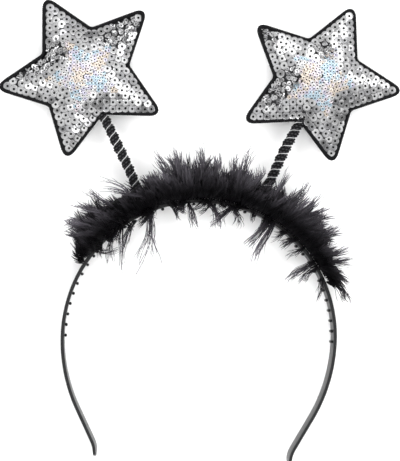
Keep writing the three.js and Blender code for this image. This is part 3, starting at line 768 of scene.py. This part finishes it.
BARBS_A_SIDE, BARBS_A_CLUMP, CLUMPING, CLUMP_POWER = 36, 6, 0.86, 1.5
BARB_LEVELS = np.array([0, 0.36, 0.7, 1])
BARB_REACH, BARB_RADIUS, BARB_THINNER, BARB_LEAST = 10 * MM, 0.12 * MM, 0.55, 0.6
BARB_FIRST, BARB_JITTER, BARB_LENGTHS, BARB_SHORTER = 0.04, 0.015, (0.7, 1.15), 0.45
BARB_OPEN, OPEN_SPREAD, OPEN_LESS, BARB_CURL, BARB_FLUFF = 29, 7, 0.5, 0.4, 0.16  # the first two in degrees
QUILL_RADIUS, QUILL_THINNER = 0.18 * MM, 0.7
STRAY_LEVELS = np.linspace(0, 1, 7)
STRAY_RADIUS, STRAY_THICK, STRAY_THINNER = 0.16 * MM, 1.2, 0.6
STRAY_LENGTHS, STRAY_FLAT, STRAY_TURN = (0.7, 1.12), (1, 1, 0.7), 0.2
STRAY_RIPPLE, RIPPLE_SPREAD, LOCK_BOW, HAIR_BOW = 0.055, 0.08, 0.12, 0.06
TUFT_HEIGHT, INNER_HEIGHT, INNER_DROP = 12 * MM, 10 * MM, 5 * MM
TUFT_SPREAD, TUFT_BARBS, TUFT_ROOTS = 1.3 * MM, 4, 0.5 * MM
HEIGHT_SPREAD, TIP_SPREAD, FLOOR_GAP = 1 * MM, 2 * MM, 0.4 * MM
FRINGE_LOCKS, FRINGE_HAIRS, FRINGE_ROOTS, FRINGE_SPREAD = 52, 10, 0.7, 0.5 * MM  # roots in degrees
FRINGE_RUN, FRINGE_REACH, FRINGE_LONG = (-52, 30), (0.6, 4), 5.5  # degrees, mm, mm
FRINGE_ROOT, FRINGE_TIP, FRINGE_LEAN, LEAN_SPREAD = -0.5, -2, 4, 1.5  # mm, mm, degrees, degrees
CORE_OUT, CORE_UP, CORE_HALF, CORE_RAGGED = 5.4 * MM, 8.0 * MM, (5.2 * MM, 4.6 * MM), 0.06
CORE_STEPS, CORE_SIDES, CORE_LEAST = 420, 36, 0.05
CORE_INSET, CORE_TAPER = (2, 3), (9, 15)  # degrees, at the left and the right end
BAND_CLEAR = 0.4 * MM
# black down this far from the cord, then paler by painted light until full grey this much farther, outside
# the band and inside it
DARK_OUT, PALE_OUT, DARK_IN, PALE_IN = 3.5 * MM, 13 * MM, 2 * MM, 10 * MM
BUNCH_TONES, HAIR_TONES = (0.25, 1.3), (0.6, 1.2)
CELL_ROOT, CELL_MARGIN = 0.12, 0.05


def hair_skin(centres, radii, normals):
    """Points, triangles and bake cells of three-sided hairs, each a row of centres that ends in a point."""
    count, levels = centres.shape[:2]
    centres = centres.copy()
    centres[..., 2] = np.maximum(centres[..., 2], FLOOR_GAP)
    ahead = unit(centres[:, -1] - centres[:, 0])
    across = unit(np.cross(ahead, normals))
    upright = np.cross(across, ahead)
    turn = (np.arange(3) * 2 * math.pi / 3)[None, :, None]
    spoke = across[:, None] * np.cos(turn) + upright[:, None] * np.sin(turn)
    rings = centres[:, :-1, None] + radii[:, :-1, None, None] * spoke[:, None]
    points = np.concatenate([rings.reshape(count, -1, 3), centres[:, -1:]], axis=1)
    faces, cells = [(2, 1, 0)], [((1, 0), (0.5, 2 * CELL_ROOT / 3), (0, 0))]
    tip = 3 * (levels - 1)
    step = (1 - CELL_ROOT) / (levels - 1)
    for level in range(levels - 1):
        low = CELL_ROOT + level * step
        for corner in range(3):
            here, beside = 3 * level + corner, 3 * level + (corner + 1) % 3
            left, right = corner / 3, (corner + 1) / 3
            if level == levels - 2:
                faces.append((here, beside, tip))
                cells.append(((left, low), (right, low), ((left + right) / 2, low + step)))
            else:
                faces += [(here, beside, beside + 3), (here, beside + 3, here + 3)]
                cells += [((left, low), (right, low), (right, low + step)),
                          ((left, low), (right, low + step), (left, low + step))]
    offsets = np.arange(count)[:, None, None] * points.shape[1]
    return points.reshape(-1, 3), (np.array(faces)[None] + offsets).reshape(-1, 3), np.array(cells)


def set_tones(piece, rng, points, count, bunch):
    """How grey each point of some hairs is: black near the cord, paler away from it by painted light, each
    bunch its own.
    """
    out = np.linalg.norm((points - CROWN_CENTRE)[:, :2], axis=1) - BAND_RADIUS
    tone = np.maximum((out - DARK_OUT) / PALE_OUT, (-DARK_IN - out) / PALE_IN)
    own = np.repeat(rng.uniform(*BUNCH_TONES, count // bunch + 1), bunch)[:count]
    own = own * rng.uniform(*HAIR_TONES, count)
    set_colours(piece, "tone", np.clip(tone * np.repeat(own, len(points) // count), 0, 1))


def set_hair_cells(piece, cells, count):
    """A bake map with a cell of its own for each hair."""
    across = math.ceil(math.sqrt(count))
    index = np.arange(count)
    corner = np.column_stack([index % across, index // across])[:, None, None]
    places = (corner + CELL_MARGIN + (1 - 2 * CELL_MARGIN) * cells[None]) / across
    layer = piece.data.uv_layers.new(name="OFBake")
    layer.data.foreach_set("uv", places.astype(np.float32).ravel())


def crown_axes(at):
    """Directions outward and along the crown at some angles."""
    outward = on_circle(1.0, at, 0.0)
    return outward, np.column_stack([outward[:, 1], -outward[:, 0], 0 * at])


def combed(outward, tangent, lift, lean):
    """Directions that rise by some degrees from outward and lean along the crown."""
    lift, lean = np.radians(lift)[:, None], np.radians(lean)[:, None]
    raised = np.cos(lift) * outward + np.sin(lift) * np.array([0, 0, 1])
    return np.cos(lean) * raised + np.sin(lean) * tangent


def sway(rng, at, layer):
    """Smooth noise along the crown, about one in size, that drifts from layer to layer."""
    waves = [np.sin(2 * math.pi * at / length + rng.uniform(0, 2 * math.pi) + drift * layer)
             for length, drift in SWAYS]
    return sum(waves) / (len(SWAYS) / 2)


def grown_plumes(rng):
    """Roots, first and last directions and lengths of the plumes, combed outward in layers."""
    at = np.linspace(PLUMAGE[0, 0], PLUMAGE[-1, 0], PLUME_COUNT)
    at = at + rng.normal(0, PLUME_JITTER, PLUME_COUNT)
    layer = rng.permutation(np.linspace(0, 1, PLUME_COUNT))
    outward, tangent = crown_axes(at)
    root_out = (ROOT_OUT - ROOT_IN * layer + rng.uniform(*ROOT_SCATTER, PLUME_COUNT)) * MM
    root = on_crown(BAND_RADIUS + root_out, at, (ROOT_HEIGHT + ROOT_RISE * layer) * MM)
    lift = LIFT_LOW + LIFT_RISE * layer + rng.normal(0, COMB_SPREAD, PLUME_COUNT)
    drop = LIFT_DROP * layer * rng.uniform(*DROP_RANGE, PLUME_COUNT)
    lean = np.interp(at, PLUMAGE[:, 0], PLUMAGE[:, 2]) + PLUME_LEAN * sway(rng, at, layer)
    lean = lean + rng.normal(0, COMB_SPREAD, PLUME_COUNT)
    reach = np.interp(at, PLUMAGE[:, 0], PLUMAGE[:, 1]) * MM * (1 - TOP_SHORTER * layer)
    reach = reach * (1 + REACH_SWAY * sway(rng, at, layer) + rng.normal(0, REACH_SPREAD, PLUME_COUNT))
    spread = (np.cos(np.radians(lift)) + np.cos(np.radians(lift - drop))) / 2 * np.cos(np.radians(lean))
    length = np.maximum((reach - root_out - BARB_PAST * BARB_REACH) / spread, SHORTEST_PLUME)
    first = combed(outward, tangent, lift, 0.5 * lean)
    last = combed(outward, tangent, lift - drop, 1.5 * lean)
    return root, first, last, length, unit(tangent + PLUME_TURN * rng.normal(size=tangent.shape))


def plume_hairs(rng, root, first, last, length, breadth):
    """Centre lines, radii and normals of all barbs of some plumes, with their quills as the last hairs."""
    count, levels = len(root), len(BARB_LEVELS)
    bend = (last - first) / 2
    share = np.tile(np.linspace(BARB_FIRST, 1, BARBS_A_SIDE), 2)
    share = np.clip(share + rng.normal(0, BARB_JITTER, (count, len(share))), 0, 1)[..., None]
    sign = np.repeat([-1.0, 1.0], BARBS_A_SIDE)[None, :, None]
    start = root[:, None] + length[:, None, None] * (share * first[:, None] + share**2 * bend[:, None])
    ahead = unit(first[:, None] + 2 * share * bend[:, None])
    side = unit(breadth[:, None] - ahead * np.sum(ahead * breadth[:, None], axis=-1, keepdims=True))
    normal = np.cross(ahead, side)
    open_turn = np.radians(rng.normal(BARB_OPEN, OPEN_SPREAD, share.shape) * (1 - OPEN_LESS * share))
    barb_way = ahead * np.cos(open_turn) + sign * side * np.sin(open_turn)
    barb_way = unit(barb_way + BARB_FLUFF * rng.normal(size=share.shape) * normal)
    barb_length = BARB_REACH * np.clip(length / FULL_PLUME, BARB_LEAST, 1)[:, None, None]
    barb_length = barb_length * (1 - BARB_SHORTER * share) * rng.uniform(*BARB_LENGTHS, share.shape)
    curl = BARB_CURL * (ahead - barb_way) + BARB_FLUFF * rng.normal(size=ahead.shape)
    end = start + barb_length * (barb_way + curl)
    clumps = end.reshape(count, -1, BARBS_A_CLUMP, 3)
    gather = CLUMPING * (clumps.mean(axis=2, keepdims=True) - clumps).reshape(end.shape)
    level = BARB_LEVELS[None, None, :, None]
    centres = start[:, :, None] + barb_length[:, :, None] * (level * barb_way[:, :, None]
                                                            + level**2 * curl[:, :, None])
    centres = (centres + level**CLUMP_POWER * gather[:, :, None]).reshape(-1, levels, 3)
    radii = np.tile(BARB_RADIUS * (1 - BARB_THINNER * BARB_LEVELS), (len(centres), 1))
    level = BARB_LEVELS[None, :, None]
    quill = root[:, None] + length[:, None, None] * (level * first[:, None] + level**2 * bend[:, None])
    quill_radii = np.tile(QUILL_RADIUS * (1 - QUILL_THINNER * BARB_LEVELS), (count, 1))
    return (np.concatenate([centres, quill]), np.concatenate([radii, quill_radii]),
            np.concatenate([normal.reshape(-1, 3), normal[:, 0]]))


def tuft_hairs(rng):
    """Centre lines, radii and normals of the loose tufts and of the short locks along the inner edge."""
    hairs = [TUFT_BARBS * row[-1] for row in TUFTS] + [FRINGE_HAIRS] * FRINGE_LOCKS
    lock = np.repeat(np.arange(len(hairs)), hairs)
    rows = np.repeat(np.array(TUFTS), hairs[:len(TUFTS)], axis=0)
    at = rng.uniform(*FRINGE_RUN, FRINGE_LOCKS)
    reach = rng.uniform(*FRINGE_REACH, FRINGE_LOCKS)
    reach = reach + FRINGE_LONG * np.clip(sway(rng, at, 0 * at), 0, 1) * rng.uniform(size=FRINGE_LOCKS)
    lean = FRINGE_LEAN * sway(rng, at, 0 * at) + rng.normal(0, LEAN_SPREAD, FRINGE_LOCKS)
    fringe = np.column_stack([at, FRINGE_ROOT + 0 * at, at + lean, FRINGE_TIP - reach, 0 * at])
    fringe = np.repeat(fringe, FRINGE_HAIRS, axis=0)
    fringe[:, 0] += rng.normal(0, FRINGE_ROOTS, len(fringe))
    spread = np.repeat((TUFT_SPREAD, FRINGE_SPREAD), (len(rows), len(fringe)))[:, None]
    rows = np.concatenate([rows, fringe])
    count = len(rows)
    outer = rows[:, 3] > 0
    height = np.where(outer, TUFT_HEIGHT, INNER_HEIGHT) + rng.normal(0, HEIGHT_SPREAD, count)
    root = on_crown(BAND_RADIUS + rows[:, 1] * MM, rows[:, 0], height)
    root = root + rng.normal(0, TUFT_ROOTS, (count, 3))
    tip_height = height + rng.normal(0, TIP_SPREAD, count) - np.where(outer, 0, INNER_DROP)
    span = on_crown(BAND_RADIUS + rows[:, 3] * MM, rows[:, 2], tip_height) - root
    span = span * rng.uniform(*STRAY_LENGTHS, (count, 1))
    span = span + spread * rng.normal(size=(count, 3)) * STRAY_FLAT
    length = np.linalg.norm(span, axis=1)[:, None]
    bow = LOCK_BOW * rng.normal(size=(len(hairs), 3))[lock] + HAIR_BOW * rng.normal(size=(count, 3))
    level = STRAY_LEVELS[None, :, None]
    phase = rng.uniform(size=(len(hairs), 1, 1))[lock] + rng.normal(0, RIPPLE_SPREAD, (count, 1, 1))
    ripple = np.sin(2 * math.pi * (level + phase)) * level * STRAY_RIPPLE
    across = unit(np.cross(span, (0.0, 0.0, 1.0)))
    centres = root[:, None] + level * span[:, None] + level * (1 - level) * 2 * (length * bow)[:, None]
    centres = centres + ripple * length[:, None] * across[:, None]
    radii = np.tile(STRAY_RADIUS * (STRAY_THICK - STRAY_THINNER * STRAY_LEVELS), (count, 1))
    return centres, radii, (0.0, 0.0, 1.0) + STRAY_TURN * rng.normal(size=(count, 3))


def down_core(rng):
    """The bound roots of the plumes: a ragged roll over the cord, kept clear of the band."""
    at = np.linspace(PLUMAGE[0, 0] + CORE_INSET[0], PLUMAGE[-1, 0] - CORE_INSET[1], CORE_STEPS)[:, None]
    turn = even_turns(CORE_SIDES)[None, :]
    ragged = 1 + CORE_RAGGED * rng.normal(size=(at.size, turn.size))
    taper = np.sqrt(np.clip((at - at[0]) / CORE_TAPER[0], CORE_LEAST, 1)
                    * np.clip((at[-1] - at) / CORE_TAPER[1], CORE_LEAST, 1))
    outward = BAND_RADIUS + CORE_OUT + CORE_HALF[0] * (taper * (1 + ragged * np.cos(turn)) - 1)
    height = CORE_UP + CORE_HALF[1] * taper * ragged * np.sin(turn)
    over_band = outward < BAND_RADIUS + BAND_CLEAR
    height = np.where(over_band, np.maximum(height, band_high.z + BAND_CLEAR), height)
    return skin(on_crown(outward, at + 0 * turn, height))


def make_feather_down():
    """Dyed down: black, with painted light that makes it paler toward the thin ends of the barbs."""
    material, nodes, links, shader = new_material("feather_down", roughness=0.45, specular=0.05)
    dye = add_mottle(nodes, scale=140, detail=3,
                     dark=(0.0012, 0.0011, 0.0014), light=(0.0045, 0.0042, 0.0054))
    # the paler tone is painted light on the outer barbs
    painted_light_tone = add_mottle(nodes, scale=140, detail=3, dark=(0.055, 0.0515, 0.06), light=(0.2, 0.187, 0.215))
    add_tones(nodes, links, shader, "tone", dye, painted_light_tone)
    return material


feather_down = make_feather_down()
rng = np.random.default_rng(21)
core = build_piece("down_core", *down_core(rng), feather_down, "feather")
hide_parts("feather_trim")


def build_hairs(name, rng, hairs, bunch):
    """A piece of many hairs, each with its own cell of the bake map and each bunch with its own tone."""
    points, faces, cells = hair_skin(*hairs)
    piece = build_piece(name, points, faces, feather_down, "feather")
    set_hair_cells(piece, cells, len(hairs[0]))
    set_tones(piece, rng, points, len(hairs[0]), bunch)
    return piece


grown = grown_plumes(rng)
for index, share in enumerate(np.array_split(np.arange(PLUME_COUNT), PLUME_PIECES)):
    barbs = plume_hairs(rng, *[values[share] for values in grown])
    plumes = build_hairs(f"plumes_{index + 1}", rng, barbs, 2 * BARBS_A_SIDE)
    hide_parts("feather_trim")
build_hairs("loose_tufts", rng, tuft_hairs(rng), 1)

# Studio: a plain pale floor with the headband lying on it, seen from above. Three softboxes and a soft
# sky light it. Of the sky, shiny pieces mirror only broad light and dark patches, and the camera sees
# plain white.
FLOOR_SIZE = 8.0
CAMERA_TARGET = Vector((1.1, 0.95, 0)) * MM
CAMERA_DISTANCE, CAMERA_YAW, CAMERA_ROLL = 0.7, 6.5, 1.36  # metres, degrees, degrees
CAMERA_LENS, CAMERA_SENSOR = 114.1, 36.0  # mm
SOFTBOXES = (  # place in metres, size in metres, power in watts
    ((0.13, 0.33, 0.88), 0.5, 0.85),
    ((0.6, 0.45, 0.65), 0.7, 0.5),
    ((0.05, -0.7, 0.7), 0.35, 0.6),
)
WORLD_DARK, WORLD_LIGHT, WORLD_PATCHES, WORLD_DETAIL = 0.07, 0.85, 3.4, 2
WORLD_RING, WORLD_LOW, WORLD_SEEN = 7.4, 1.2, 1.05
PATCH_EDGES, RING_TOP, RING_FOOT = (0.34, 0.66), (0.66, 0.58), (0.47, 0.4)

floor_mesh = bpy.data.meshes.new("floor")
half = FLOOR_SIZE / 2
floor_corners = [(-half, -half, 0), (half, -half, 0), (half, half, 0), (-half, half, 0)]
floor_mesh.from_pydata(floor_corners, [], [(0, 1, 2, 3)])
floor = bpy.data.objects.new("floor", floor_mesh)
bpy.context.scene.collection.objects.link(floor)
floor_paint, nodes, links, shader = new_material("floor_paint", roughness=0.9, specular=0.1)
paint = add_mottle(nodes, scale=30, detail=2, dark=(0.95, 0.95, 0.95), light=(0.97, 0.97, 0.97))
links.new(paint.outputs["Color"], shader.inputs["Base Color"])
floor_mesh.materials.append(floor_paint)

for number, (place, size, power) in enumerate(SOFTBOXES, 1):
    light = bpy.data.lights.new(f"softbox_{number}", "AREA")
    light.size, light.energy = size, power
    softbox = bpy.data.objects.new(light.name, light)
    softbox.location = place
    softbox.rotation_euler = (-Vector(place)).to_track_quat("-Z", "Y").to_euler()
    bpy.context.scene.collection.objects.link(softbox)

world = bpy.data.worlds.new("studio")
world.use_nodes = True
nodes, links = world.node_tree.nodes, world.node_tree.links
direction, patches = nodes.new("ShaderNodeTexCoord"), nodes.new("ShaderNodeTexNoise")
patches.inputs["Scale"].default_value = WORLD_PATCHES
patches.inputs["Detail"].default_value = WORLD_DETAIL
links.new(direction.outputs["Generated"], patches.inputs["Vector"])


def add_range(value, edges, low, high):
    """A value of the studio's light that goes smoothly from low to high between two edges."""
    node = nodes.new("ShaderNodeMapRange")
    node.interpolation_type = "SMOOTHSTEP"
    for label, number in zip(("From Min", "From Max", "To Min", "To Max"), (*edges, low, high)):
        node.inputs[label].default_value = number
    links.new(value, node.inputs["Value"])
    return node.outputs["Result"]


def add_choice(factor, first, second):
    """One value or another of the studio's light."""
    node = nodes.new("ShaderNodeMix")
    links.new(factor, node.inputs["Factor"])
    links.new(first, node.inputs["A"])
    if isinstance(second, float):
        node.inputs["B"].default_value = second
    else:
        links.new(second, node.inputs["B"])
    return node.outputs["Result"]


parts = nodes.new("ShaderNodeSeparateXYZ")
links.new(direction.outputs["Generated"], parts.inputs["Vector"])
overhead = add_range(patches.outputs["Fac"], PATCH_EDGES, WORLD_DARK, WORLD_LIGHT)
ringed = add_choice(add_range(parts.outputs["Z"], RING_TOP, 0, 1), overhead, WORLD_RING)
lit = add_choice(add_range(parts.outputs["Z"], RING_FOOT, 0, 1), ringed, WORLD_LOW)
ray = nodes.new("ShaderNodeLightPath")
mirrored = add_choice(ray.outputs["Is Glossy Ray"], lit, overhead)
seen = add_choice(ray.outputs["Is Camera Ray"], mirrored, WORLD_SEEN)
nodes["Background"].inputs["Color"].default_value = (1, 1, 1, 1)
links.new(seen, nodes["Background"].inputs["Strength"])
bpy.context.scene.world = world
bpy.context.scene.view_settings.view_transform = "Standard"

camera_data = bpy.data.cameras.new("camera")
camera_data.sensor_fit, camera_data.sensor_height = "VERTICAL", CAMERA_SENSOR
camera_data.lens = CAMERA_LENS
camera = bpy.data.objects.new("camera", camera_data)
yawed = Matrix.Rotation(math.radians(-CAMERA_YAW), 4, "Y")
rolled = Matrix.Rotation(math.radians(CAMERA_ROLL), 4, "Z")
backed = Matrix.Translation((0, 0, CAMERA_DISTANCE))
camera.matrix_world = Matrix.Translation(CAMERA_TARGET) @ yawed @ rolled @ backed
bpy.context.scene.collection.objects.link(camera)
bpy.context.scene.camera = camera
